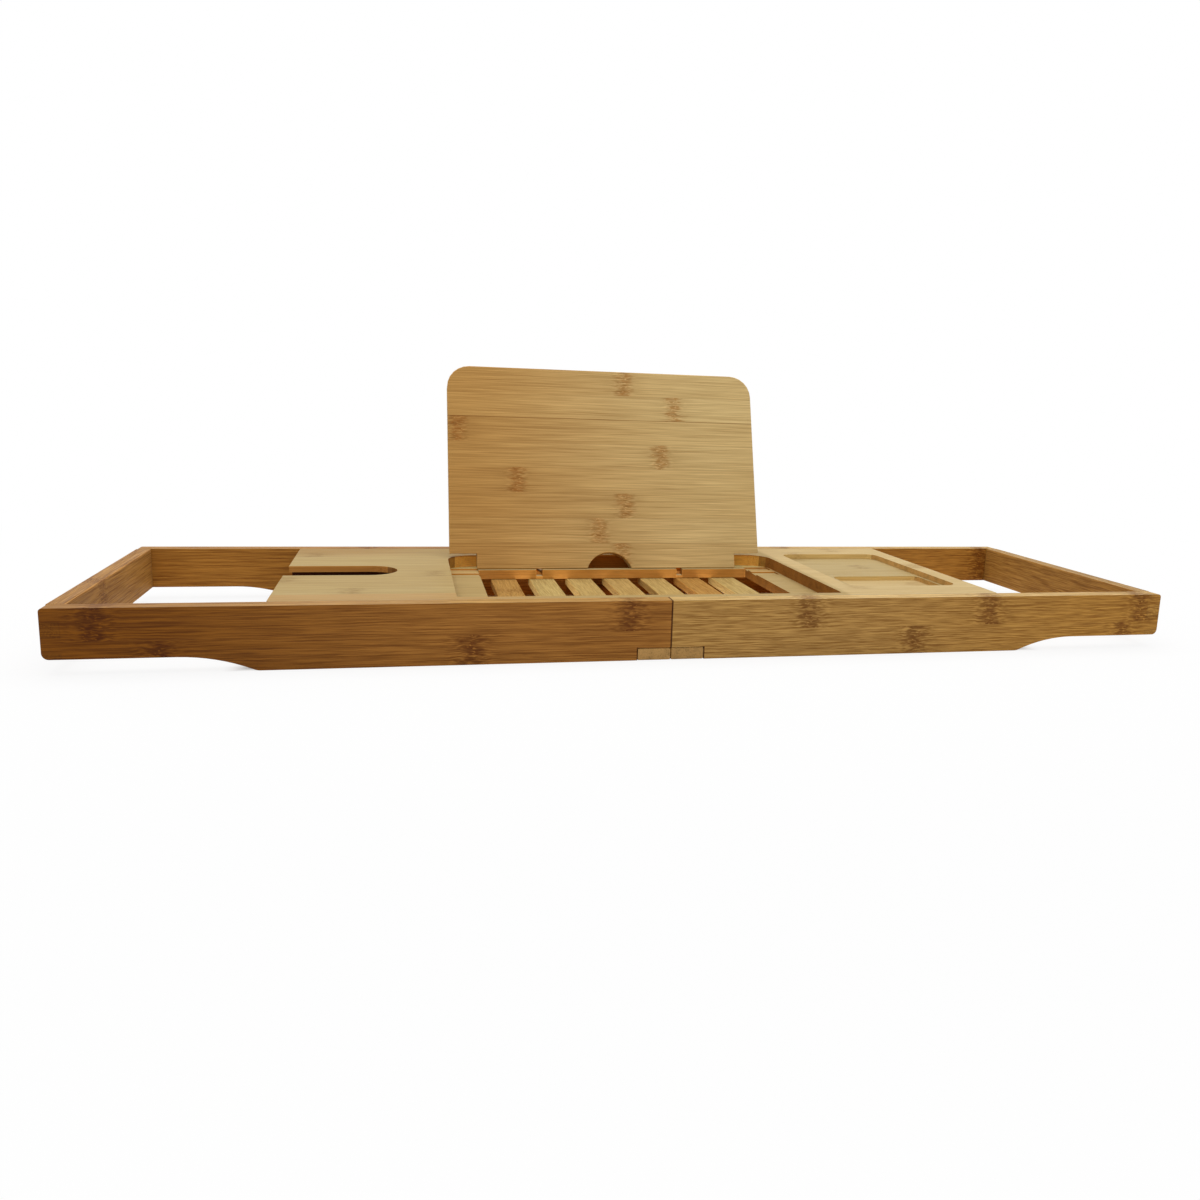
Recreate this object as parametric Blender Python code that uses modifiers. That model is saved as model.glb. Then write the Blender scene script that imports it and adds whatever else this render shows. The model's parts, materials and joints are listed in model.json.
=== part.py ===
"""Extending bath caddy in bamboo: a routed tray that two arms slide past, with a folding reading stand.

Metres, +Z up. The origin is on the ground under the middle of the closed caddy. +X runs along the
caddy, -Y faces the bather. Everything is worked out from the named sizes below. Run it from Blender's
text editor, or with blender --background --python part.py.
"""
import math

import bmesh
import bpy
from mathutils import Matrix, Vector

MM = 0.001

# Overall size with the arms closed
overall_length = 750 * MM
overall_depth = 235 * MM
overall_height = 40 * MM

# Clearances
touch_gap = 0.3 * MM
run_gap = 0.5 * MM
overrun = 5 * MM

# Arms: two rails, an end bar between them and a cross bar let in under their inner ends
rail_thickness = 12 * MM
end_bar_thickness = 11 * MM
shallow_height = 30.5 * MM
scoop_start = 72 * MM
scoop_radius = 110 * MM
scoop_foot_radius = 10 * MM
end_top_radius = 2 * MM
end_bottom_radius = 4 * MM
cross_bar_width = 22.4 * MM
cross_bar_height = 8 * MM
wood_edge = 0.8 * MM

# Silicone grips let into the undersides of the rails, where they rest on the rim of a bath
grip_length = 48 * MM
grip_width = 6.4 * MM
grip_thickness = 1.4 * MM
grip_recess = 1.3 * MM
grip_inset = 14 * MM

# Tray: one edge-glued board with everything routed into it
tray_length = 500 * MM
tray_thickness = 16 * MM
tray_offset = -3.5 * MM
tray_corner_radius = 2 * MM
tray_edge = 0.7 * MM

# Runners under the tray's long edges, and the grooves in the rails that they slide in
runner_width = 14.5 * MM
runner_height = 6 * MM
groove_depth = 5 * MM
groove_headroom = 0.6 * MM
groove_lead = 3 * MM
runner_edge = 0.5 * MM

# Stop blocks under the tray, which the arms' cross bars meet when the arms are pulled right out
stop_inset = 45 * MM
stop_length = 30 * MM
stop_width = 12 * MM
stop_bite = 4 * MM

# Pocket that the reading stand folds into, and the slatted well in its floor
pocket_depth = 8.8 * MM
pocket_border_front = 7.5 * MM
pocket_border_back = 34.5 * MM
pocket_border_left = 114.9 * MM
pocket_border_right = 117.9 * MM
pocket_back_radius = 20 * MM
pocket_front_radius = 3 * MM
well_ledge_left = 23.1 * MM
well_ledge_right = 21.6 * MM
well_ledge_front = 12 * MM
well_ledge_back = 19.3 * MM
well_radius = 1.5 * MM

# Shallow rest grooves across the ledges at both ends of the well, counted from the back
rest_count = 2
rest_width = 12.5 * MM
rest_pitch = 21 * MM
rest_depth = 1 * MM
rest_from_back = 13 * MM
rest_wall_gap = 1.5 * MM

# Slats under the well
slat_count = 7
slat_width = 20 * MM
slat_thickness = 6 * MM
slat_bearing = 8 * MM
slat_edge = 0.7 * MM

# Wine glass slot, open at the tray's left end, with the board thinned under its lips
slot_width = 38.5 * MM
slot_reach = 77 * MM
slot_offset = 3.3 * MM
slot_lip = 4.5 * MM
slot_shoulder = 20 * MM

# Soap and phone recess, in two levels
recess_web = 16.9 * MM
recess_border_front = 31.3 * MM
recess_border_back = 31.9 * MM
recess_border_right = 14 * MM
recess_depth = 4.2 * MM
recess_radius = 9 * MM
dish_reach = 58.8 * MM
dish_margin_left = 11.5 * MM
dish_margin_right = 2.5 * MM
dish_margin_front = 2.5 * MM
dish_depth = 7.6 * MM
dish_radius = 6 * MM

# Reading stand: the board
stand_tilt = math.radians(18)
board_thickness = 8 * MM
board_gap_left = 1.5 * MM
board_gap_right = 8.9 * MM
board_gap_front = 0.5 * MM
board_gap_back = 1 * MM
board_corner_radius = 18 * MM
board_edge = 1 * MM
shoulder_width = 21.3 * MM
shoulder_height = 12.4 * MM
finger_radius = 19.2 * MM
finger_height = 13.3 * MM
foot_from_well = 3.8 * MM

# Reading stand: the wire prop, its lugs on the board and its straps on the tray
wire_radius = 1.6 * MM
wire_bend = 4 * MM
wire_half_width = 58 * MM
wire_clearance = 0.3 * MM
pin_length = 11 * MM
lug_length = 9 * MM
lug_reach = 12 * MM
lug_thickness = 6 * MM
lug_edge = 0.6 * MM
strap_width = 10 * MM
strap_thickness = 1 * MM
strap_flange = 4 * MM
strap_spread = 38 * MM
strap_cover = 0.5 * MM
seat_side_gap = 12 * MM
seat_front_gap = 0.6 * MM
seat_back_cut = 3 * MM
channel_gap = 0.9 * MM
prop_from_back = 4.5 * MM

# Facets of the round shapes
corner_steps = 6
scoop_steps = 8
slot_steps = 14
finger_steps = 14
bend_steps = 4
bore_steps = 16

# Places that several pieces share
ground = 0.0
rail_top = overall_height
shallow_floor = overall_height - shallow_height
front_face = -overall_depth / 2
rail_inner = overall_depth / 2 - rail_thickness
arm_end = overall_length / 2
arm_seam = touch_gap / 2
tray_left = tray_offset - tray_length / 2
tray_right = tray_offset + tray_length / 2
tray_front = -rail_inner + run_gap
tray_back = rail_inner - run_gap
tray_under = rail_top - tray_thickness
hung_top = tray_under - touch_gap
pocket_left = tray_left + pocket_border_left
pocket_right = tray_right - pocket_border_right
pocket_front = tray_front + pocket_border_front
pocket_back = tray_back - pocket_border_back
pocket_floor = rail_top - pocket_depth
well_left = pocket_left + well_ledge_left
well_right = pocket_right - well_ledge_right
well_front = pocket_front + well_ledge_front
well_back = pocket_back - well_ledge_back
slot_middle = (tray_front + tray_back) / 2 + slot_offset
recess_left = pocket_right + recess_web
recess_right = tray_right - recess_border_right
recess_front = tray_front + recess_border_front
recess_back = tray_back - recess_border_back
board_left = pocket_left + board_gap_left
board_right = pocket_right - board_gap_right
board_width = board_right - board_left
board_height = pocket_back - pocket_front - board_gap_front - board_gap_back

# The folding stand's linkage, in the plane across the caddy: y is depth and z is height
stowed_top = pocket_floor + touch_gap + board_thickness
stowed_foot = pocket_front + board_gap_front
stand_middle = (board_left + board_right) / 2
pin_offset = touch_gap + lug_thickness / 2
foot_y = well_back + foot_from_well
foot_z = pocket_floor + touch_gap
prop_foot_y = pocket_back - prop_from_back
prop_foot_z = pocket_floor - strap_cover - strap_thickness + touch_gap - wire_clearance - wire_radius
seat_floor = prop_foot_z - wire_radius - wire_clearance
strap_reach = wire_radius + wire_clearance + strap_thickness + strap_flange
seat_front = prop_foot_y - strap_reach - seat_front_gap


def linkage():
    """Where the prop's upper pins sit on the board, and how far the prop and board turn to fold flat.

    The pins lie a distance `along` up the board and `off` behind its face. The prop is as long raised
    as stowed, which gives one equation of the first degree for `along`.
    """
    off = board_thickness + pin_offset
    up = Vector((math.sin(stand_tilt), math.cos(stand_tilt)))
    back = Vector((math.cos(stand_tilt), -math.sin(stand_tilt)))
    pivot = Vector((prop_foot_y, prop_foot_z))
    raised = Vector((foot_y, foot_z)) + back * off - pivot
    stowed = Vector((stowed_foot, stowed_top - off)) - pivot
    along = (stowed.length_squared - raised.length_squared) / (2 * (raised.dot(up) - stowed.x))
    raised_pin = raised + up * along
    stowed_pin = stowed + Vector((along, 0))
    length = raised_pin.length
    lean = math.atan2(raised_pin.y, raised_pin.x)
    fold = math.atan2(stowed_pin.y, stowed_pin.x) % math.tau - lean
    return along, length, lean, fold


pin_along, prop_length, prop_lean, prop_fold = linkage()
pin_y = prop_foot_y + prop_length * math.cos(prop_lean)
pin_z = prop_foot_z + prop_length * math.sin(prop_lean)


def clear_scene():
    """Remove every object, so that the script can be run again in the same file."""
    for thing in list(bpy.data.objects):
        bpy.data.objects.remove(thing, do_unlink=True)


def new_collection(name):
    """A collection linked to the scene."""
    group = bpy.data.collections.new(name)
    bpy.context.scene.collection.children.link(group)
    return group


def finish(name, colour, roughness, metallic=0.0):
    """A Principled material."""
    material = bpy.data.materials.new(name)
    material.use_nodes = True
    shader = material.node_tree.nodes["Principled BSDF"]
    shader.inputs["Base Color"].default_value = (*colour, 1.0)
    shader.inputs["Roughness"].default_value = roughness
    shader.inputs["Metallic"].default_value = metallic
    return material


def arc(centre_x, centre_y, radius, start, end, steps):
    """Points along an arc, both ends included; angles in degrees."""
    points = []
    for step in range(steps + 1):
        angle = math.radians(start + (end - start) * step / steps)
        points.append((centre_x + radius * math.cos(angle), centre_y + radius * math.sin(angle)))
    return points


def rounded_rectangle(left, right, low, high, low_radius, high_radius):
    """A rectangle whose lower and upper corners have their own radii."""
    points = arc(left + low_radius, low + low_radius, low_radius, 180, 270, corner_steps)
    points += arc(right - low_radius, low + low_radius, low_radius, 270, 360, corner_steps)
    points += arc(right - high_radius, high - high_radius, high_radius, 0, 90, corner_steps)
    points += arc(left + high_radius, high - high_radius, high_radius, 90, 180, corner_steps)
    return points


def facing(plane, middle):
    """The placing that lays a flat outline in a plane: its own Z runs along the third axis."""
    if plane == "XY":
        return Matrix.Translation((0, 0, middle))
    if plane == "XZ":
        return Matrix.Translation((0, middle, 0)) @ Matrix.Rotation(math.radians(90), 4, "X")
    turned = Matrix(((0, 0, 1, 0), (1, 0, 0, 0), (0, 1, 0, 0), (0, 0, 0, 1)))
    return Matrix.Translation((middle, 0, 0)) @ turned


def mesh_from_curve(drawn, name, group):
    """Turn a drawn curve into a closed mesh object at the same place, and remove the curve."""
    bpy.context.view_layer.update()
    evaluated = drawn.evaluated_get(bpy.context.evaluated_depsgraph_get())
    mesh = bpy.data.meshes.new_from_object(evaluated)
    mesh.name = name
    solid = bmesh.new()
    solid.from_mesh(mesh)
    bmesh.ops.remove_doubles(solid, verts=solid.verts, dist=0.00001)
    bmesh.ops.recalc_face_normals(solid, faces=solid.faces)
    solid.to_mesh(mesh)
    solid.free()
    made = bpy.data.objects.new(name, mesh)
    made.matrix_world = drawn.matrix_world
    group.objects.link(made)
    bpy.data.objects.remove(drawn, do_unlink=True)
    return made


def plate(name, outline, low, high, plane, group):
    """A flat outline given a thickness from low to high along the plane's third axis."""
    curve = bpy.data.curves.new(name + "_outline", "CURVE")
    curve.dimensions = "2D"
    curve.fill_mode = "BOTH"
    curve.extrude = (high - low) / 2
    spline = curve.splines.new("POLY")
    spline.points.add(len(outline) - 1)
    for point, (across, along) in zip(spline.points, outline):
        point.co = (across, along, 0, 1)
    spline.use_cyclic_u = True
    drawn = bpy.data.objects.new(name + "_outline", curve)
    group.objects.link(drawn)
    drawn.matrix_world = facing(plane, (low + high) / 2)
    return mesh_from_curve(drawn, name, group)


def block(name, low, high, group):
    """A box between two corners."""
    size = Vector(high) - Vector(low)
    mesh = bpy.data.meshes.new(name)
    solid = bmesh.new()
    bmesh.ops.create_cube(solid, size=1, matrix=Matrix.Diagonal((*size, 1)))
    solid.to_mesh(mesh)
    solid.free()
    made = bpy.data.objects.new(name, mesh)
    group.objects.link(made)
    made.location = (Vector(low) + Vector(high)) / 2
    return made


def as_cutter(thing):
    """Mark a solid as a cutter, which is not part of the object."""
    thing.hide_render = True
    thing.display_type = "WIRE"
    return thing


def cut(piece, cutter):
    """Cut one solid out of another."""
    modifier = piece.modifiers.new(cutter.name, "BOOLEAN")
    modifier.operation = "DIFFERENCE"
    modifier.solver = "EXACT"
    modifier.object = as_cutter(cutter)


def soften(piece, width, segments=2):
    """Round the sharp edges of a piece."""
    modifier = piece.modifiers.new("softened_edges", "BEVEL")
    modifier.width = width
    modifier.segments = segments
    modifier.limit_method = "ANGLE"
    modifier.angle_limit = math.radians(40)
    modifier.use_clamp_overlap = True


def joint_empty(name, place, group):
    """An empty on a joint's axis, which carries the pieces that the joint moves."""
    empty = bpy.data.objects.new(name, None)
    empty.empty_display_size = rail_thickness
    group.objects.link(empty)
    empty.location = place
    return empty


def carry(parent, pieces):
    """Parent pieces to an empty without moving them."""
    bpy.context.view_layer.update()
    for piece in pieces:
        piece.parent = parent
        piece.matrix_parent_inverse = parent.matrix_world.inverted()


def rail_outline(side):
    """Side view of a rail: shallow at its outer end, then scooped down to its full height.

    The scoop is a large arc, level where it leaves the shallow underside, and a small arc rounds it
    into the deep underside. The two meet on the line between their centres.
    """
    drop = shallow_floor
    reach = scoop_radius + scoop_foot_radius
    run = math.sqrt(reach ** 2 - (reach - drop) ** 2)
    meet = math.degrees(math.atan2(reach - drop, run))
    inner = arm_end - arm_seam
    lap = inner - cross_bar_width - touch_gap
    points = arc(end_top_radius, rail_top - end_top_radius, end_top_radius, 180, 90, corner_steps)
    points += [(inner, rail_top), (inner, cross_bar_height + touch_gap)]
    points += [(lap, cross_bar_height + touch_gap), (lap, ground)]
    points += arc(scoop_start + run, scoop_foot_radius, scoop_foot_radius, 270, 180 + meet, corner_steps)
    points += arc(scoop_start, shallow_floor - scoop_radius, scoop_radius, meet, 90, scoop_steps)
    points += arc(end_bottom_radius, shallow_floor + end_bottom_radius, end_bottom_radius, 270, 180,
                  corner_steps)
    return [(side * (arm_end - along), height) for along, height in points]


def make_rail(side, row, name, parts, cutters):
    """One rail of an arm, grooved on its inner face for the tray's runner."""
    outer = row * overall_depth / 2
    inner = row * rail_inner
    rail = plate(name, rail_outline(side), min(outer, inner), max(outer, inner), "XZ", parts)
    soften(rail, wood_edge)
    tray_end = tray_right if side > 0 else tray_left
    groove_x = sorted((side * (arm_seam - overrun), tray_end + side * groove_lead))
    groove_y = sorted((inner + row * groove_depth, inner - row * overrun))
    groove_low = hung_top - runner_height - touch_gap
    groove = block(name + "_groove", (groove_x[0], groove_y[0], groove_low),
                   (groove_x[1], groove_y[1], hung_top + groove_headroom), cutters)
    cut(rail, groove)
    middle = row * (overall_depth - rail_thickness) / 2
    half = grip_width / 2 + touch_gap
    grip_x = sorted((side * (arm_end - grip_inset + touch_gap),
                     side * (arm_end - grip_inset - grip_length - touch_gap)))
    seat = block(name + "_grip_seat", (grip_x[0], middle - half, shallow_floor - overrun),
                 (grip_x[1], middle + half, shallow_floor + grip_recess), cutters)
    cut(rail, seat)
    return rail


def make_grip(side, row, name, parts):
    """A silicone strip let into the underside of a rail, a little proud of the wood."""
    middle = row * (overall_depth - rail_thickness) / 2
    ends = sorted((side * (arm_end - grip_inset), side * (arm_end - grip_inset - grip_length)))
    top = shallow_floor + grip_recess - touch_gap
    outline = rounded_rectangle(ends[0], ends[1], middle - grip_width / 2, middle + grip_width / 2,
                                grip_width / 2, grip_width / 2)
    return plate(name, outline, top - grip_thickness, top, "XY", parts)


def make_arm(side, label, parts, cutters, woods):
    """A sliding arm: front and back rails, end bar, cross bar and two grips."""
    pieces = []
    for row, place in ((-1, "front"), (1, "back")):
        rail = make_rail(side, row, f"{label}_rail_{place}", parts, cutters)
        rail.data.materials.append(woods["rail"])
        grip = make_grip(side, row, f"{label}_grip_{place}", parts)
        grip.data.materials.append(woods["grip"])
        pieces += [rail, grip]
    bar_x = sorted((side * arm_end, side * (arm_end - end_bar_thickness)))
    bar_y = rail_inner - touch_gap
    end_bar = block(f"{label}_end_bar", (bar_x[0], -bar_y, shallow_floor), (bar_x[1], bar_y, rail_top),
                    parts)
    cross_x = sorted((side * arm_seam, side * (arm_seam + cross_bar_width)))
    cross_bar = block(f"{label}_cross_bar", (cross_x[0], front_face, ground),
                      (cross_x[1], -front_face, cross_bar_height), parts)
    for bar in (end_bar, cross_bar):
        bar.data.materials.append(woods["rail"])
        soften(bar, wood_edge)
        pieces.append(bar)
    slide = joint_empty(f"{label}_slide", (side * arm_end, 0, rail_top), parts)
    carry(slide, pieces)


def slot_outline(grow):
    """The wine glass slot: parallel sides, open at the tray's left end, with a round inner end."""
    radius = slot_width / 2 + grow
    end = tray_left + slot_reach - slot_width / 2
    points = arc(end, slot_middle, radius, -90, 90, slot_steps)
    start = tray_left - overrun
    return points + [(start, slot_middle + radius), (start, slot_middle - radius)]


def make_tray_board(parts, cutters, woods):
    """The routed board: pocket, slatted well, prop seat, rest grooves, glass slot, two-level recess.

    The folded prop lies in the seat and in two channels that lead from it into the well.
    """
    outline = rounded_rectangle(tray_left, tray_right, tray_front, tray_back, tray_corner_radius,
                                tray_corner_radius)
    board = plate("tray_board", outline, tray_under, rail_top, "XY", parts)
    above = rail_top + overrun
    below = tray_under - overrun
    pocket = rounded_rectangle(pocket_left, pocket_right, pocket_front, pocket_back,
                               pocket_front_radius, pocket_back_radius)
    cut(board, plate("pocket_cut", pocket, pocket_floor, above, "XY", cutters))
    well = rounded_rectangle(well_left, well_right, well_front, well_back, well_radius, well_radius)
    cut(board, plate("well_cut", well, below, pocket_floor + overrun, "XY", cutters))
    seat_half = wire_half_width + wire_radius + seat_side_gap
    cut(board, block("prop_seat_cut", (stand_middle - seat_half, seat_front, seat_floor),
                     (stand_middle + seat_half, pocket_back + seat_back_cut, above), cutters))
    channel_half = wire_radius + channel_gap
    for side, label in ((-1, "left"), (1, "right")):
        middle = stand_middle + side * wire_half_width
        cut(board, block(f"prop_channel_cut_{label}",
                         (middle - channel_half, well_back - overrun, seat_floor),
                         (middle + channel_half, seat_front + overrun, above), cutters))
    cut(board, plate("slot_cut", slot_outline(0), below, above, "XY", cutters))
    cut(board, plate("slot_relief_cut", slot_outline(slot_shoulder), below, rail_top - slot_lip, "XY",
                     cutters))
    recess = rounded_rectangle(recess_left, recess_right, recess_front, recess_back, recess_radius,
                               recess_radius)
    cut(board, plate("recess_cut", recess, rail_top - recess_depth, above, "XY", cutters))
    dish_left = recess_left + dish_margin_left
    dish_front = recess_front + dish_margin_front
    dish = rounded_rectangle(dish_left, recess_right - dish_margin_right, dish_front,
                             dish_front + dish_reach, dish_radius, dish_radius)
    cut(board, plate("dish_cut", dish, rail_top - dish_depth, above, "XY", cutters))
    soften(board, tray_edge)
    for index in range(rest_count):
        back = pocket_back - rest_from_back - index * rest_pitch
        ends = (("left", pocket_left + rest_wall_gap, well_left + touch_gap),
                ("right", well_right - touch_gap, pocket_right - rest_wall_gap))
        for label, start, stop in ends:
            cut(board, block(f"rest_cut_{label}_{index + 1}",
                             (start, back - rest_width, pocket_floor - rest_depth),
                             (stop, back, pocket_floor + rest_depth), cutters))
    board.data.materials.append(woods["tray"])


def make_slats(parts, woods):
    """Slats under the well, evenly spaced, held against the underside of the board at both ends."""
    gap = (well_right - well_left - slat_count * slat_width) / (slat_count + 1)
    low = hung_top - slat_thickness
    for index in range(slat_count):
        left = well_left + gap + index * (slat_width + gap)
        slat = block(f"slat_{index + 1}", (left, well_front - slat_bearing, low),
                     (left + slat_width, well_back + slat_bearing, hung_top), parts)
        slat.data.materials.append(woods["slat"])
        soften(slat, slat_edge)


def make_runners(parts, woods):
    """The strips under the tray's long edges that ride in the rails' grooves."""
    tip = rail_inner + groove_depth - run_gap
    root = tip - runner_width
    for row, place in ((-1, "front"), (1, "back")):
        ends = sorted((row * tip, row * root))
        runner = block(f"tray_runner_{place}", (tray_left, ends[0], hung_top - runner_height),
                       (tray_right, ends[1], hung_top), parts)
        runner.data.materials.append(woods["tray"])
        soften(runner, runner_edge)


def make_stops(parts, woods):
    """Blocks under the tray that hold the cross bars back at the end of the arms' travel."""
    low = cross_bar_height - stop_bite
    near = rail_inner + groove_depth - run_gap - runner_width - touch_gap
    for side, label, tray_end in ((-1, "left", tray_left), (1, "right", tray_right)):
        outer = tray_end - side * stop_inset
        ends_x = sorted((outer, outer - side * stop_width))
        for row, place in ((-1, "front"), (1, "back")):
            ends_y = sorted((row * near, row * (near - stop_length)))
            stop = block(f"stop_{label}_{place}", (ends_x[0], ends_y[0], low),
                         (ends_x[1], ends_y[1], hung_top), parts)
            stop.data.materials.append(woods["tray"])
            soften(stop, wood_edge)


def strap_outline():
    """Side view of a strap over the prop's foot: two flanges joined by an arch."""
    inner = wire_radius + wire_clearance
    outer = inner + strap_thickness
    low = seat_floor + touch_gap
    points = [(prop_foot_y - strap_reach, low), (prop_foot_y - inner, low)]
    points += arc(prop_foot_y, prop_foot_z, inner, 180, 0, 2 * corner_steps)
    points += [(prop_foot_y + inner, low), (prop_foot_y + strap_reach, low)]
    points += [(prop_foot_y + strap_reach, low + strap_thickness)]
    points += [(prop_foot_y + outer, low + strap_thickness)]
    points += arc(prop_foot_y, prop_foot_z, outer, 0, 180, 2 * corner_steps)
    points += [(prop_foot_y - outer, low + strap_thickness)]
    points += [(prop_foot_y - strap_reach, low + strap_thickness)]
    return points


def make_straps(parts, woods):
    """The two steel straps that hold the prop's foot down in its seat."""
    for side, label in ((-1, "left"), (1, "right")):
        middle = stand_middle + side * strap_spread
        strap = plate(f"prop_strap_{label}", strap_outline(), middle - strap_width / 2,
                      middle + strap_width / 2, "YZ", parts)
        strap.data.materials.append(woods["steel"])


def prop_path():
    """The prop's wire: foot along X, two arms, and two pins bent outwards; x and distance from foot."""
    half = wire_half_width
    top = prop_length
    right = [(-half + wire_bend, 0), (half - wire_bend, 0)]
    right += arc(half - wire_bend, wire_bend, wire_bend, 270, 360, bend_steps)[1:]
    right += arc(half + wire_bend, top - wire_bend, wire_bend, 180, 90, bend_steps)
    right += [(half + wire_bend + pin_length, top)]
    left = [(-across, along) for across, along in reversed(right[2:])]
    return left + right


def make_prop(parts, woods):
    """The wire prop, bent from one rod, on an empty at its hinge in the tray."""
    curve = bpy.data.curves.new("prop_wire_path", "CURVE")
    curve.dimensions = "3D"
    curve.bevel_depth = wire_radius
    curve.bevel_resolution = 2
    curve.use_fill_caps = True
    path = prop_path()
    spline = curve.splines.new("POLY")
    spline.points.add(len(path) - 1)
    for point, (across, along) in zip(spline.points, path):
        point.co = (stand_middle + across, prop_foot_y + along * math.cos(prop_lean),
                    prop_foot_z + along * math.sin(prop_lean), 1)
    drawn = bpy.data.objects.new("prop_wire_path", curve)
    parts.objects.link(drawn)
    wire = mesh_from_curve(drawn, "prop_wire", parts)
    wire.data.materials.append(woods["steel"])
    hinge = joint_empty("prop_hinge", (stand_middle, prop_foot_y, prop_foot_z), parts)
    carry(hinge, [wire])
    return hinge


def board_outline():
    """The stand's board seen square on: round top corners, stepped foot and a finger cut-out."""
    half = board_width / 2
    foot = half - shoulder_width
    radius = board_corner_radius
    sink = finger_radius - finger_height
    open_angle = math.degrees(math.asin(sink / finger_radius))
    points = [(-half, shoulder_height)]
    points += arc(radius - half, board_height - radius, radius, 180, 90, corner_steps)
    points += arc(half - radius, board_height - radius, radius, 90, 0, corner_steps)
    points += [(half, shoulder_height), (foot, shoulder_height), (foot, 0)]
    points += arc(0, -sink, finger_radius, open_angle, 180 - open_angle, finger_steps)
    points += [(-foot, 0), (-foot, shoulder_height)]
    return points


def stand_place():
    """The placing of the raised board: its own Y runs up it and its own Z points at the reader."""
    turned = Matrix.Rotation(math.radians(90) - stand_tilt, 4, "X")
    return Matrix.Translation((stand_middle, foot_y, foot_z)) @ turned


def make_board(parts, cutters, woods):
    """The stand's board, cut level under its foot, which stands on the ledge, and under its shoulders."""
    board = plate("stand_board", board_outline(), -board_thickness, 0, "XY", parts)
    board.matrix_world = stand_place() @ board.matrix_world
    soften(board, board_edge)
    low = foot_z - overrun
    front = foot_y - overrun
    back = foot_y + 2 * board_thickness
    foot_half = board_width / 2 - shoulder_width
    cut(board, block("foot_cut", (stand_middle - foot_half - touch_gap, front, low),
                     (stand_middle + foot_half + touch_gap, back, foot_z), cutters))
    shoulder_z = foot_z + shoulder_height * math.cos(stand_tilt)
    for side, label in ((-1, "left"), (1, "right")):
        ends = sorted((stand_middle + side * foot_half, stand_middle + side * (board_width / 2 + overrun)))
        cut(board, block(f"shoulder_cut_{label}", (ends[0], front, low), (ends[1], back, shoulder_z),
                         cutters))
    board.data.materials.append(woods["board"])
    return board


def make_lug(side, label, parts, cutters, woods):
    """A steel lug on the board's back, bored for one of the prop's pins."""
    near = wire_half_width + wire_bend + (pin_length - lug_length) / 2
    ends = sorted((side * near, side * (near + lug_length)))
    back = -board_thickness - touch_gap
    lug = block(f"stand_lug_{label}", (ends[0], pin_along - lug_reach / 2, back - lug_thickness),
                (ends[1], pin_along + lug_reach / 2, back), parts)
    lug.matrix_world = stand_place() @ Matrix.Translation(lug.location)
    soften(lug, lug_edge)
    mesh = bpy.data.meshes.new(f"lug_bore_{label}")
    solid = bmesh.new()
    bmesh.ops.create_cone(solid, cap_ends=True, segments=bore_steps, radius1=wire_radius + wire_clearance,
                          radius2=wire_radius + wire_clearance, depth=lug_length + overrun,
                          matrix=Matrix.Rotation(math.radians(90), 4, "Y"))
    solid.to_mesh(mesh)
    solid.free()
    bore = bpy.data.objects.new(f"lug_bore_{label}", mesh)
    cutters.objects.link(bore)
    bore.location = (stand_middle + (ends[0] + ends[1]) / 2, pin_y, pin_z)
    cut(lug, bore)
    lug.data.materials.append(woods["steel"])
    return lug


def make_stand(parts, cutters, woods):
    """The reading stand: prop and board, each on an empty at its own hinge."""
    prop_hinge = make_prop(parts, woods)
    pieces = [make_board(parts, cutters, woods)]
    for side, label in ((-1, "left"), (1, "right")):
        pieces.append(make_lug(side, label, parts, cutters, woods))
    board_hinge = joint_empty("board_hinge", (stand_middle, pin_y, pin_z), parts)
    carry(board_hinge, pieces)
    carry(prop_hinge, [board_hinge])


def main():
    """Build the whole caddy."""
    clear_scene()
    parts = new_collection("bath_caddy")
    cutters = new_collection("cutters")
    woods = {
        "tray": finish("bamboo_tray", (0.56, 0.42, 0.25), 0.5),
        "rail": finish("bamboo_rail", (0.42, 0.26, 0.12), 0.45),
        "slat": finish("bamboo_slat", (0.55, 0.40, 0.22), 0.5),
        "board": finish("bamboo_board", (0.54, 0.40, 0.20), 0.45),
        "steel": finish("steel_wire", (0.62, 0.62, 0.60), 0.3, 1.0),
        "grip": finish("silicone_grip", (0.75, 0.74, 0.70), 0.7),
    }
    make_tray_board(parts, cutters, woods)
    make_slats(parts, woods)
    make_runners(parts, woods)
    make_stops(parts, woods)
    make_straps(parts, woods)
    make_arm(-1, "left", parts, cutters, woods)
    make_arm(1, "right", parts, cutters, woods)
    make_stand(parts, cutters, woods)


main()
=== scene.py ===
"""Finishes and studio for an extending bamboo bath caddy, laid out as an add-on and run as a script.

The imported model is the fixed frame. This script gives every wooden piece a bamboo finish worked out from
strips, fibres and knuckles, models the wire prop, the ribbed grips and the screws as fine meshes, and sets
up a pale floor, soft light and the camera. Everything is in metres.
"""
import json
import math

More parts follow.
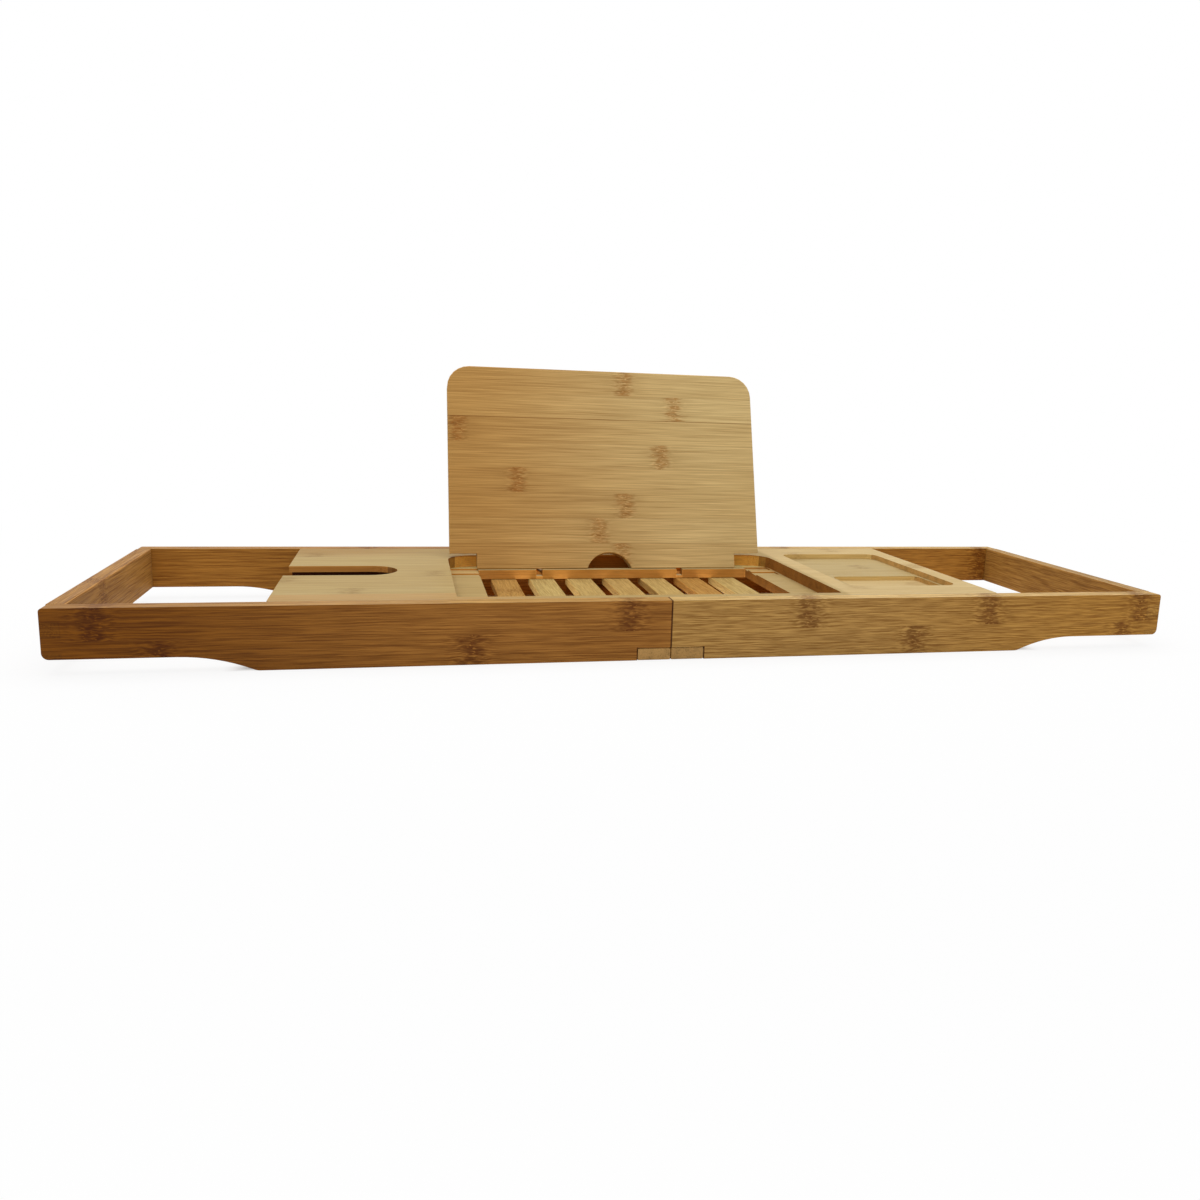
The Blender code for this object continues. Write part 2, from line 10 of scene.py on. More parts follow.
import bmesh
import bpy
import numpy as np
from bpy.props import FloatProperty, FloatVectorProperty, PointerProperty
from mathutils import Color, Matrix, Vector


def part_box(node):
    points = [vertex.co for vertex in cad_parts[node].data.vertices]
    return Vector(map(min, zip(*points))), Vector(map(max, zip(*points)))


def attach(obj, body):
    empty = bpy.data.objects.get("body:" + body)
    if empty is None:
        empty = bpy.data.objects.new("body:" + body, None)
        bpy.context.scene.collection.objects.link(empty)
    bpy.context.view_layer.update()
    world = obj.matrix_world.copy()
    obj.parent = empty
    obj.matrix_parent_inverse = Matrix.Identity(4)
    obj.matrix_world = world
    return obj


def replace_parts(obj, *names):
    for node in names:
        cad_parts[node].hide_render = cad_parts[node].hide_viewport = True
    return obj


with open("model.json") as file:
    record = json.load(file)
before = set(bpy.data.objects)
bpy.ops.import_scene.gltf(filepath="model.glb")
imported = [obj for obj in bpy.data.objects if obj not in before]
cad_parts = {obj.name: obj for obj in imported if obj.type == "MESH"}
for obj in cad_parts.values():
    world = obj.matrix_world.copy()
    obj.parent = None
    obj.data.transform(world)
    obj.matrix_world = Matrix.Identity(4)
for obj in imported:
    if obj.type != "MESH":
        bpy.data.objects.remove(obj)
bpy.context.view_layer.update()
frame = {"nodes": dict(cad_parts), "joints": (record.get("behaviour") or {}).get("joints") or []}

bl_info = {
    "name": "Bath caddy finishes",
    "version": (1, 0, 0),
    "blender": (4, 5, 0),
    "location": "View3D > Sidebar > Caddy",
    "description": "Bamboo, steel and silicone finishes, fasteners and a studio for a bath caddy",
    "category": "Object",
}

MM = 0.001

# What the wood's shades and marks, and the painted highlight on its rounded edges, do to its red, green and
# blue
PALE, DEEP = (1.28, 1.34, 1.44), (0.62, 0.54, 0.44)
DARK_STRIP, GLUE = (0.80, 0.68, 0.50), (0.42, 0.30, 0.18)
CURL, EDGE_HIGHLIGHT, CUT_END = (1.45, 1.5, 1.6), (1.34, 1.28, 1.16), (0.4, 0.4, 0.4)


def tone(name, colour, words):
    """A colour property, in scene linear values worked out from a display colour of 0 to 255."""
    linear = [((c / 255 + 0.055) / 1.055) ** 2.4 if c > 10 else c / 255 / 12.92 for c in colour]
    return FloatVectorProperty(name=name, description=words, subtype="COLOR", default=linear, min=0, max=1)


def length(name, value, words):
    """A length property in metres."""
    return FloatProperty(name=name, description=words, default=value, subtype="DISTANCE", unit="LENGTH")


def power(name, value, words):
    """A lamp's power property in watts."""
    return FloatProperty(name=name, description=words, default=value, min=0, unit="POWER")


class BambooTones(bpy.types.PropertyGroup):
    """Colours of the bamboo: faces, walls cut along the grain, and end grain."""
    tray_face: tone("Tray face", (178, 153, 102), "Top of the routed board's left part")
    tray_far: tone("Tray face, right part", (200, 174, 122), "Top of the routed board's right part")
    tray_front: tone("Tray front strip", (184, 150, 98), "The routed board's front strip")
    tray_wall: tone("Tray walls", (206, 146, 70), "Walls of the pocket, well and slot along the grain")
    recess_wall: tone("Recess walls", (232, 200, 130), "Walls of the soap recess along the grain")
    recess_end: tone("Recess end grain", (206, 162, 96), "Walls of the soap recess across the grain")
    tray_end: tone("Tray end grain", (150, 100, 44), "Walls of the pocket and well across the grain")
    slat_face: tone("Slat face", (182, 156, 96), "Top of the slats")
    slat_warm: tone("Warm slat face", (171, 126, 62), "Top of the slats of a warmer tone")
    # The arms' front and back faces are darker and more saturated than their tops: partly the bamboo's own
    # tone, partly painted shade. The back rails' tones hold the painted shade of their inner faces.
    left_face: tone("Left rail near the seam", (155, 103, 43), "Front of the left arm near the seam")
    left_far: tone("Left rail outer end", (121, 70, 10), "Front of the left arm at its outer end")
    left_back: tone("Left back rail", (170, 114, 44), "Faces of the left arm's back rail")
    left_bar: tone("Left bars", (156, 109, 50), "Faces of the left arm's end bar and cross bar")
    left_edge: tone("Left arm top near the seam", (196, 154, 90), "Top of the left rails near the seam")
    left_edge_far: tone("Left arm top, outer end", (168, 122, 64), "Top of the left arm's outer end")
    # As on the left arm, the darker face and back tones against the paler tops are partly painted shade
    right_face: tone("Right rail near the seam", (174, 132, 70), "Front of the right arm near the seam")
    right_far: tone("Right rail outer end", (176, 126, 54), "Front of the right arm at its outer end")
    right_back: tone("Right back rail", (174, 118, 46), "Faces of the right arm's back rail")
    right_bar: tone("Right bars", (156, 109, 48), "Faces of the right arm's end bar and cross bar")
    right_edge: tone("Right arm top near the seam", (204, 170, 108), "Top of the right rails near the seam")
    right_edge_far: tone("Right arm top, outer end", (200, 164, 102), "Top of the right arm's outer end")
    arm_end: tone("Arm end grain", (192, 149, 88), "End grain of the bars between the rails")
    board_face: tone("Board face", (213, 184, 125), "Front and back of the reading stand's board")
    board_far: tone("Board left side", (194, 148, 82), "The board's face towards its left edge")
    board_edge: tone("Board edge", (200, 160, 96), "Edges of the reading stand's board")


class BambooMakeup(bpy.types.PropertyGroup):
    """Sizes of what the bamboo shows: strips, fibres and knuckles."""
    strip: length("Strip width", 21.1 * MM, "Width of the strips that the tray is glued from")
    layer: length("Layer thickness", 6 * MM, "Thickness of one layer of strips")
    fibre: length("Fibre thickness", 1 * MM, "Thickness of the lines that run along the grain")
    fibre_length: length("Fibre length", 36 * MM, "Length of the lines that run along the grain")
    knuckle: length("Knuckle length", 12 * MM, "Length of a knuckle along the grain")
    knuckle_reach: length("Knuckle reach", 22 * MM, "How far from a knuckle the fibres ripple")
    knuckle_spacing: length("Knuckle spacing", 290 * MM, "Distance between knuckles along one strip")


class MetalTones(bpy.types.PropertyGroup):
    """Colours of the metal and silicone pieces."""
    wire: tone("Wire", (128, 124, 118), "Steel wire of the prop")
    plate: tone("Straps and lugs", (184, 181, 174), "Rolled steel of the straps and lugs")
    screw: tone("Screws", (196, 192, 182), "Zinc-plated screws")
    grip: tone("Grips", (214, 212, 204), "Silicone of the grips")


class StageLook(bpy.types.PropertyGroup):
    """Floor, light and camera."""
    floor: tone("Floor", (244, 244, 244), "Pale floor")
    sky: FloatProperty(name="Sky light", description="Strength of the even light", default=0.62, min=0)
    lamp: power("Lamp", 20, "Power of the soft lamp overhead")
    fill: power("Fill lamp", 0.12, "Power of the small lamp on the floor under the slats")
    bounce: power("Bounce lamp", 0.03, "Power of the warm light that the tray's underside throws down")
    bounce_tone: tone("Bounce colour", (255, 160, 84), "Colour of the light under the tray")
    seat: power("Seat lamps", 0.0008, "Power of each lamp in the seat of the prop's foot")
    seat_tone: tone("Seat colour", (255, 215, 170), "Colour of the light in the seat of the prop's foot")
    lens: FloatProperty(name="Lens", description="Focal length in mm, 36 mm sensor", default=30.65, min=1)


class Desk:
    """A new material or world with its shader, and methods that add nodes and return their outputs."""

    def __init__(self, name, kind="materials", shader="Principled BSDF"):
        self.block = getattr(bpy.data, kind).new(name)
        self.block.use_nodes = True
        self.tree = self.block.node_tree
        self.shader = self.tree.nodes[shader]

    def feed(self, socket, value):
        """Link a node's output to a socket, or set the socket to a constant."""
        if isinstance(value, bpy.types.NodeSocket):
            self.tree.links.new(value, socket)
        elif value is not None:
            socket.default_value = value

    def paint(self, looks):
        """Feed the shader's inputs by their names."""
        for name, value in looks.items():
            self.feed(self.shader.inputs[name], value)

    def overlay(self, share, other, output="Material Output"):
        """Send the shader to the output, with a share of another one over it."""
        mixed = self.add("MixShader", (share, self.shader.outputs[0], other))[0]
        self.feed(self.tree.nodes[output].inputs[0], mixed)

    def add(self, kind, inputs=(), **settings):
        """Add a node with its settings, and feed its inputs in order or by name. Returns the outputs."""
        node = self.tree.nodes.new("ShaderNode" + kind)
        for name, value in settings.items():
            setattr(node, name, value)
        for key, value in inputs.items() if isinstance(inputs, dict) else enumerate(inputs):
            self.feed(node.inputs[key], value)
        return node.outputs

    def math(self, operation, first, second=None, third=None, clamp=False):
        return self.add("Math", (first, second, third), operation=operation, use_clamp=clamp)[0]

    def times(self, first, *others):
        """The product of all the values."""
        for other in others:
            first = self.math("MULTIPLY", first, other)
        return first

    def plus(self, first, *others):
        """The sum of all the values."""
        for other in others:
            first = self.math("ADD", first, other)
        return first

    def away(self, value, place=0.0):
        """How far a value is from a place, on either side of it."""
        return self.math("ABSOLUTE", self.math("SUBTRACT", value, place) if place else value)

    def ease(self, value, low, high, start=0.0, stop=1.0):
        """Smooth change from start to stop while value goes from low to high."""
        return self.add("MapRange", (value, low, high, start, stop), interpolation_type="SMOOTHSTEP")[0]

    def past(self, value, edge, soft, share=1.0):
        """The share where value is past an edge, and nothing before it, with a soft change between."""
        return self.ease(value, edge - soft, edge + soft, 0.0, share)

    def before(self, value, edge, soft, share=1.0):
        """The share where value is short of an edge, and nothing past it, with a soft change between."""
        return self.ease(value, edge + soft, edge - soft, 0.0, share)

    def vector(self, x, y, z):
        return self.add("CombineXYZ", (x, y, z))[0]

    def split(self, vector):
        """The X, Y and Z of a vector."""
        return self.add("SeparateXYZ", (vector,))

    def cell(self, place, sizes):
        """The place in a pattern whose cells have the given sizes."""
        return self.vector(*(self.math("DIVIDE", part, size) for part, size in zip(place, sizes)))

    def noise(self, place, sizes, detail=2.0):
        """Noise about 0.5, in lumps of the given sizes."""
        inputs = {"Vector": self.cell(place, sizes), "Scale": 1, "Detail": detail}
        return self.add("TexNoise", inputs)["Fac"]

    def scatter(self, vector):
        """A random value for each whole-number place."""
        return self.add("TexWhiteNoise", {"Vector": vector})["Value"]

    def dots(self, place, sizes):
        """Distance to the nearest of many scattered points, in cells of the given sizes."""
        return self.add("TexVoronoi", {"Vector": self.cell(place, sizes), "Scale": 1})["Distance"]

    def table(self, position, values):
        """The value of the step that position falls in, for steps of equal width between 0 and 1."""
        node = self.tree.nodes.new("ShaderNodeValToRGB")
        node.color_ramp.interpolation = "CONSTANT"
        stops = node.color_ramp.elements
        while len(stops) < len(values):
            stops.new(1)
        for index, value in enumerate(values):
            stops[index].position = index / len(values)
            stops[index].color = (value, value, value, 1)
        self.feed(node.inputs[0], position)
        return node.outputs[0]

    def blend(self, share, first, second, way="MIX"):
        """A mix of two colours, each a socket or a tuple."""
        first, second = ((*value, 1) if isinstance(value, tuple) else value for value in (first, second))
        inputs = {"Factor": share, 6: first, 7: second}
        return self.add("Mix", inputs, data_type="RGBA", blend_type=way)[2]

    def times_ratio(self, colour, ratio):
        """The colour with each channel times that of a ratio."""
        return self.blend(1.0, colour, ratio, "MULTIPLY")

    def bump(self, height, strength, distance):
        """Feed a height to the shader's normal."""
        inputs = {"Strength": strength, "Distance": distance, "Height": height}
        self.paint({"Normal": self.add("Bump", inputs)[0]})


def place_parts(desk):
    """X, Y and Z of the piece's own place."""
    return desk.split(desk.add("TexCoord")["Object"])


def swing(desk, value, size):
    """A noise value about zero, times a size."""
    return desk.times(desk.math("SUBTRACT", value, 0.5), size)


def shaded(desk, colour, share, ratio):
    """Turn the colour towards its product with a ratio, by a share."""
    return desk.blend(share, colour, desk.times_ratio(colour, ratio))


class Cut:
    """How a piece was cut from bamboo, and what its faces show.

    The axes say which of the piece's directions run along the grain, across the strips and through the
    layers. The values below are those of a plain cut, and a finish gives its own by name. Where it gives
    none, the panel's are taken for the strips' width, the fibres' thickness, the knuckles' length (knot)
    and how far from a knuckle the fibres ripple (reach).
    """
    # The face, its rounded and cut edges, and its end grain
    face = edge = end = None
    # What these turn into along the grain, between the two distances of drift
    far = far_edge = far_end = None
    drift = (0, 1)
    # The face's colour on the first strip, left of the middle, and the two colours of a rail's outer side
    first = outer = None
    # Where the first strip begins
    low = 0.0
    # The turn about X that levels the piece, and the place that stays where it is in that turn
    tilt = 0.0
    pivot = (0, 0, 0)
    # The knuckles of each strip, from low to high, as distances along the grain between the two of span
    rows = ()
    span = (0, 1)
    # How strong the knuckles are, and what they do to the colour
    knuckle = 1.0
    mark = (0.42, 0.29, 0.17)
    # How strong the fibres are, how drawn out they are, and the share of short streaks
    contrast = long = short = 1.0
    # How far the strips differ in tone, how dark the glue lines get, and where their unevenness starts
    tint = 0.3
    glued = 0.6
    lift = 0
    # A number that sets this piece's pattern apart, its gloss, and a function that adds its own marks and
    # any painted light and shade
    seed = 0.0
    gloss = 0.12
    marks_and_painted_light = None

    def __init__(self, axes, **given):
        makeup = bpy.context.scene.caddy_makeup
        self.axes, self.strip, self.fibre = axes, makeup.strip, makeup.fibre
        self.knot, self.reach = makeup.knuckle, makeup.knuckle_reach
        for name, value in given.items():
            setattr(self, name, tuple(value) if isinstance(value, Color) else value)


def levelled(desk, output, cut):
    """Object coordinates or normals along, across and through the grain of a piece turned level."""
    source = desk.add("TexCoord")[output]
    if cut.tilt:
        centre = cut.pivot if output == "Object" else (0, 0, 0)
        inputs = {"Vector": source, "Center": centre, "Angle": cut.tilt}
        source = desk.add("VectorRotate", inputs, rotation_type="X_AXIS")[0]
    parts = dict(zip("XYZ", desk.split(source)))
    return [parts[axis] for axis in cut.axes]


def knuckle_distance(desk, cut, along, strip, chance):
    """Distance along the grain to the strip's nearest knuckle, by the piece's rows or by an even spacing."""
    spacing = bpy.context.scene.caddy_makeup.knuckle_spacing
    if not cut.rows:
        turns = desk.math("MULTIPLY_ADD", chance, 7.0, desk.math("DIVIDE", along, spacing))
        return desk.times(desk.away(desk.math("FRACT", turns), 0.5), spacing)
    start, stop = cut.span
    position = desk.math("DIVIDE", desk.plus(strip, 0.5), len(cut.rows))
    nearest = None
    for column in zip(*cut.rows):
        place = desk.table(position, [(x - start) / (stop - start) for x in column])
        place = desk.math("MULTIPLY_ADD", place, stop - start, start)
        away = desk.away(desk.math("SUBTRACT", along, place))
        nearest = away if nearest is None else desk.math("MINIMUM", nearest, away)
    return nearest


def end_grain(desk, end, place, chance):
    """Cut ends of the strips: dark dots of fibre, crowded towards one side of each layer, and blotches."""
    along, across, through = place
    dot, dot_length, blotch = MM / 1.1, MM / 0.06, MM / 0.16
    dots = desk.ease(desk.dots((across, through, along), (dot, dot, dot_length)), 0.45, 0.15)
    layer = desk.math("FRACT", desk.math("DIVIDE", through, bpy.context.scene.caddy_makeup.layer))
    crowd = desk.ease(layer, 0.0, 1.0, 0.3, 0.75)
    blotches = desk.noise((across, through, along), (blotch, blotch, blotch), 3)
    dark = desk.plus(desk.times(dots, crowd), desk.ease(blotches, 0.4, 0.75, 0.0, 0.35))
    dark = desk.math("ADD", dark, desk.ease(chance, 0.2, 0.9, 0.0, 0.3), clamp=True)
    return shaded(desk, end, dark, CUT_END)


def grain(desk, place, long, thin, detail=1.0):
    """Noise drawn out along the grain: lines of one length and thickness."""
    return desk.noise(place, (long, thin, thin), detail)


def fibres(desk, cut, place, near):
    """The plain lines, the fine lines, and how dark the fibres are, from 0 to 1.

    The shade is a sum of noises about zero, each times a weight: lines, fine lines, broad bands, short
    streaks, and near a knuckle its ripples. Dark streaks follow the darkest lines, pale ones the palest
    streaks.
    """
    thin, long = cut.fibre, cut.long * bpy.context.scene.caddy_makeup.fibre_length
    lines = grain(desk, place, long, thin, 2.0)
    fine = grain(desk, place, 0.5 * long, 0.6 * thin)
    broad = grain(desk, place, 5 * long, 5 * thin)
    streak = grain(desk, place, 0.3 * long, 0.9 * thin)
    ripple = grain(desk, place, 6 * MM, 1.2 * MM)
    shade = desk.plus(swing(desk, lines, 1.3), swing(desk, fine, 2.3), swing(desk, broad, 0.6),
                      swing(desk, streak, 1.7 * cut.short),
                      desk.times(swing(desk, ripple, 3.6 * cut.knuckle), near),
                      desk.ease(lines, 0.42, 0.35, 0.0, 0.45),
                      desk.ease(streak, 0.60, 0.70, 0.0, -0.35 * cut.short))
    return lines, fine, desk.math("MULTIPLY_ADD", shade, cut.contrast, 0.42)


def bent_fibres(desk, cut, place, near):
    """The distance across the grain once the fibres sway, and wave near a knuckle."""
    wave = swing(desk, grain(desk, place, 8 * MM, 3 * MM), 3 * MM)
    sway = swing(desk, grain(desk, place, 110 * MM, 16 * MM), (0.8 + 1.4 * cut.short) * MM)
    waving = desk.math("MULTIPLY_ADD", near, 0.75, 0.25 * cut.short)
    return desk.plus(place[1], desk.times(wave, waving), sway)


def turning(desk, cut, along, near, far):
    """A colour that turns into a second one, if there is one, between the two distances of drift."""
    return desk.blend(desk.ease(along, *cut.drift), near, far) if far else near


def face_tone(desk, cut, along, through, row):
    """Colours on faces and edges, with the first strip and a rail's outer side apart; rail faces are partly
    painted shade.
    """
    face = turning(desk, cut, along, cut.face, cut.far)
    if cut.first:
        plain = desk.math("MAXIMUM", desk.past(row, 0.99, 0.01), desk.past(along, -85 * MM, 35 * MM))
        face = desk.blend(plain, cut.first, face)
    if cut.outer:
        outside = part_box("left_rail_back")[1][1] - 1 * MM
        outer = turning(desk, cut, along, *cut.outer)
        face = desk.blend(desk.past(through, outside, 0.5 * MM), face, outer)
    return face, turning(desk, cut, along, cut.edge, cut.far_edge)


def add_knuckles(desk, cut, straight, bent, away, base, colour):
    """Knuckles on the fibres: a soft patch with ragged ends, dark dashes in it, and a few pale curls.

    The ragged ends and the dashes follow the bent fibres. The patch's blotches and the curls lie straight.
    """
    knot, strong = cut.knot, cut.knuckle
    rag = grain(desk, bent, 16 * MM, 3 * MM, 2.0)
    dashes = grain(desk, bent, 4.5 * MM, 0.9 * MM)
    blotch = grain(desk, straight, 10 * MM, 5 * MM)
    curls = grain(desk, straight, 3 * MM, 1.1 * MM)
    core = desk.ease(desk.plus(away, swing(desk, rag, 1.6 * knot)), 0.85 * knot, 0.1 * knot)
    patch = desk.times(core, desk.ease(blotch, 0.3, 0.6, 0.3 * strong, 0.9 * strong))
    band = desk.times(core, desk.ease(dashes, 0.46, 0.62, 0.0, 0.75 * strong))
    pale = desk.times(core, desk.ease(curls, 0.62, 0.72, 0.0, 0.7 * strong))
    colour = shaded(desk, colour, patch, tuple(0.35 + 0.65 * share for share in cut.mark))
    colour = desk.blend(band, colour, desk.times_ratio(base, cut.mark))
    return desk.blend(pale, colour, desk.times_ratio(base, CURL))


def add_glue(desk, cut, row, colour):
    """Thin dark glue lines between the strips, each of a darkness of its own."""
    joint = desk.math("ROUND", row)
    seam = desk.away(desk.math("SUBTRACT", row, joint))
    line = desk.ease(seam, 0.6 * MM / cut.strip, 0.1 * MM / cut.strip)
    chance = desk.scatter(desk.vector(desk.math("SUBTRACT", joint, cut.lift), 0.5, cut.seed + 8.0))
    return shaded(desk, colour, desk.times(line, desk.ease(chance, 0.35, 0.95, 0.08, cut.glued)), GLUE)


def bamboo(name, cut):
    """A bamboo finish.

    Fibres are noise drawn out along the grain, which swings the tone between a pale and a deep shade of
    the base. Knuckles lie on them, and the fibres ripple around each. Each strip has a tone of its own,
    thin glue lines part the strips, and the rounded edges get a painted highlight.
    """
    desk = Desk(name)
    along, across, through = levelled(desk, "Object", cut)
    facing_end, facing_edge, facing_face = (desk.away(part) for part in levelled(desk, "Normal", cut))
    row = desk.math("DIVIDE", desk.math("SUBTRACT", across, cut.low), cut.strip)
    strip = desk.math("FLOOR", row)
    layer = desk.math("FLOOR", desk.math("DIVIDE", through, bpy.context.scene.caddy_makeup.layer))
    chance = desk.scatter(desk.vector(strip, 0.0 if cut.rows else layer, cut.seed + 3.0))
    slide = desk.math("MULTIPLY_ADD", chance, 9.0, along)

    away = knuckle_distance(desk, cut, along, strip, chance)
    near = desk.ease(away, cut.reach, 0.1 * cut.reach)
    straight = (slide, across, through)
    bent = (slide, bent_fibres(desk, cut, straight, near), through)
    lines, fine, shade = fibres(desk, cut, bent, near)
    halo = desk.times(desk.ease(away, 2.2 * cut.knot, 0.3 * cut.knot), 0.16 * cut.knuckle)
    shade = desk.math("ADD", shade, halo, clamp=True)

    face, edge = face_tone(desk, cut, along, through, row)
    # Faces and edges take tones of their own; on the rails the fronts' and backs' darker tone against the
    # tops is partly painted shade
    base = desk.blend(desk.ease(facing_edge, 0.55, 0.8), face, edge)
    base = shaded(desk, base, desk.ease(chance, 0.1, 0.9, 0.0, cut.tint), DARK_STRIP)
    colour = desk.blend(shade, desk.times_ratio(base, PALE), desk.times_ratio(base, DEEP))
    colour = add_knuckles(desk, cut, straight, bent, away, base, colour)
    end = turning(desk, cut, along, cut.end, cut.far_end)
    colour = desk.blend(desk.ease(facing_end, 0.55, 0.8), colour,
                        end_grain(desk, end, (along, across, through), chance))
    colour = add_glue(desk, cut, row, colour)
    # Painted highlight: where the normal leans between two sides, on the rounded edges, the colour is made
    # paler
    rounded = desk.ease(desk.times(facing_edge, facing_face), 0.1, 0.25, 0.0, 0.55)
    colour = shaded(desk, colour, rounded, EDGE_HIGHLIGHT)
    if cut.marks_and_painted_light:
        colour = cut.marks_and_painted_light(desk, colour)

    desk.paint({"Base Color": colour, "Roughness": desk.ease(lines, 0.3, 0.7, 0.52, 0.66),
                "Specular IOR Level": cut.gloss})
    desk.bump(desk.math("MULTIPLY_ADD", fine, 0.6, lines), 0.2, 0.2 * MM)
    return desk.block


class TrayPlaces:
    """Where the tray board's marks and its painted light and shade lie. Depths count down from its top."""
    slot_length = 77 * MM
    slot_half = 51 * MM
    hollow_depth = 4.85 * MM
    corner_start = 72.5 * MM
    corner_reach = 85 * MM
    pocket_depth = 8.8 * MM
    pocket_half = 141 * MM
    pocket_end = 78 * MM
    behind_half = 90 * MM
    corners_from = 101 * MM
    well_middle = -4.2 * MM
    well_half = 111.8 * MM
    ledge_front = 36.5 * MM
    recess_depth = 4.2 * MM
    recess_left = 145.75 * MM
    recess_back = 73.35 * MM
    channel_inset = 15 * MM
    channel_half = 2.8 * MM
    channel_top = 30.75 * MM
    channel_middle = 63 * MM
    channel_reach = 15 * MM


def tray_marks_and_painted_light(desk, colour):
    """Marks of the routed board: each is a share of the place that it covers and a ratio of the colour.

    Some of these are painted light and shade. The relief below the slot's lips gets a near-black painted
    shade, and the lips are duller. The top's back left corner is warmer, and the long edges are cooler. The
    pocket's back wall gets a red-brown painted shade by the stand's foot and a pale painted light at its
    corners, the back part of the pocket's floor beside the well gets a warm painted light, the recess is
    duller, and the prop's channels get a pale painted light against their deep shade.
    """
    x, y, z = place_parts(desk)
    at = TrayPlaces
    low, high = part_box("tray_board")
    foot_low, foot_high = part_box("stand_board")
    prop_low, prop_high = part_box("prop_wire")
    depth = desk.math("SUBTRACT", high[2], z)
    out = desk.away(y)
    slot = desk.before(x, low[0] + at.slot_length, 3 * MM)
    # Painted shade: the relief below the slot's lips, deeper than the lips are thick, is turned nearly black
    slot_shade = desk.times(desk.past(depth, at.hollow_depth, 0.25 * MM), slot,
                        desk.before(out, at.slot_half, 1 * MM))
    lip = desk.times(desk.past(depth, 0.6 * MM, 0.2 * MM), slot)
    corner = desk.times(desk.past(y, at.corner_start, 17.5 * MM),
                        desk.before(x, low[0] + at.corner_reach, 45 * MM))
    edges = desk.past(out, high[1] - 0.65 * MM, 0.35 * MM)
    pocket = desk.times(desk.past(y, foot_low[1] + 3.5 * MM, 1.5 * MM),
                        desk.before(y, at.pocket_end, 2 * MM))
    beside = desk.away(x, (foot_low[0] + foot_high[0]) / 2)
    # Painted shade: below the top, in the pocket just behind the stand's foot and along it, the colour turns
    # a darker red-brown
    foot_shade = desk.times(desk.past(depth, 1 * MM, 0.5 * MM), pocket,
                        desk.before(beside, at.behind_half, 10 * MM))
    # Painted light: at the ends of the pocket's back wall, past the stand's foot, the colour is made much
    # paler against the board's shade
    corners = desk.times(desk.past(depth, 0.65 * MM, 0.25 * MM), pocket,
                         desk.past(beside, at.corners_from, 4 * MM),
                         desk.before(beside, at.pocket_half, 1 * MM))
    # Painted light: the back part of the pocket's floor beside the well is made lighter and warmer against
    # its shade
    ledge_light = desk.times(desk.past(depth, at.pocket_depth - 0.4 * MM, 0.1 * MM),
                       desk.before(depth, at.pocket_depth + 1.45 * MM, 0.15 * MM),
                       desk.past(y, at.ledge_front, 1.5 * MM),
                       desk.past(desk.away(x, at.well_middle), at.well_half, 0.2 * MM))
    recess = desk.times(desk.past(depth, at.recess_depth - 0.4 * MM, 0.2 * MM),
                        desk.before(depth, at.recess_depth + 0.65 * MM, 0.25 * MM),
                        desk.past(x, at.recess_left, 0.15 * MM),
                        desk.before(y, at.recess_back, 0.15 * MM))
    # Painted light: the channels that the prop's wire lies in are made pale against their deep shade
    channels = desk.away(desk.away(x, (prop_low[0] + prop_high[0]) / 2),
                         (prop_high[0] - prop_low[0]) / 2 - at.channel_inset)
    channels = desk.times(desk.before(channels, at.channel_half, 0.4 * MM),
                          desk.before(z, at.channel_top, 0.25 * MM),
                          desk.before(desk.away(y, at.channel_middle), at.channel_reach, 1 * MM))
    for share, ratio in ((slot_shade, (0.07, 0.04, 0.05)), (lip, (0.8, 0.76, 0.78)),
                         (corner, (0.88, 0.78, 0.70)), (edges, (0.9, 1.08, 1.5)),
                         (foot_shade, (0.62, 0.42, 0.22)), (corners, (1.6, 2.0, 2.1)),
                         (ledge_light, (1.19, 1.09, 0.98)), (recess, (0.82, 0.83, 0.81)),
                         (channels, (1.5, 1.6, 1.8))):
        colour = shaded(desk, colour, share, ratio)
    return colour


class FingerPlaces:
    """Heights of the fingers of end grain at the rails' outer ends, and the size of their dots."""
    middle = 27 * MM
    half = 4.8 * MM
    lower_top = 13 * MM
    inset = 0.5 * MM
    dot = 1.1 * MM


def arm_stains(desk, colour):
    """Dark lines at the seam between the arms and round the cross bar's end, and fingers of end grain."""
    x, _, z = place_parts(desk)
    at = FingerPlaces
    out = desk.away(x)
    seam = desk.before(out, 0.55 * MM, 0.2 * MM, 0.85)
    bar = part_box("right_cross_bar")[1]
    outside = desk.math("MAXIMUM", desk.math("SUBTRACT", out, bar[0]), desk.math("SUBTRACT", z, bar[2]))
    joint = desk.times(desk.before(desk.away(outside, 0.3 * MM), 0.4 * MM, 0.2 * MM),
                       desk.ease(out, bar[0] - 0.5 * MM, bar[0], 0.25, 0.75))
    short = desk.math("SUBTRACT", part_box("right_end_bar")[0][0] + at.inset, out)
    upper = desk.math("MAXIMUM", desk.math("SUBTRACT", desk.away(z, at.middle), at.half), short)
    lower = desk.math("MAXIMUM", desk.math("SUBTRACT", z, at.lower_top), short)
    finger = desk.math("MINIMUM", upper, lower)
    dots = desk.dots((x, 0.0, z), (at.dot, at.dot, at.dot))
    dots = desk.times(desk.ease(dots, 0.5, 0.2, 0.0, 0.6), desk.before(finger, -0.2 * MM, 0.2 * MM))
    rim = desk.before(desk.away(finger), 0.35 * MM, 0.25 * MM, 0.2)
    for share, ratio in ((seam, (0.16, 0.07, 0.05)), (joint, (0.22, 0.12, 0.08)),
                         (desk.before(finger, 0.05 * MM, 0.25 * MM, 0.8), (0.92, 0.96, 1.10)),
                         (dots, (0.6, 0.5, 0.4)), (rim, (0.4, 0.3, 0.2))):
        colour = shaded(desk, colour, share, ratio)
    return colour


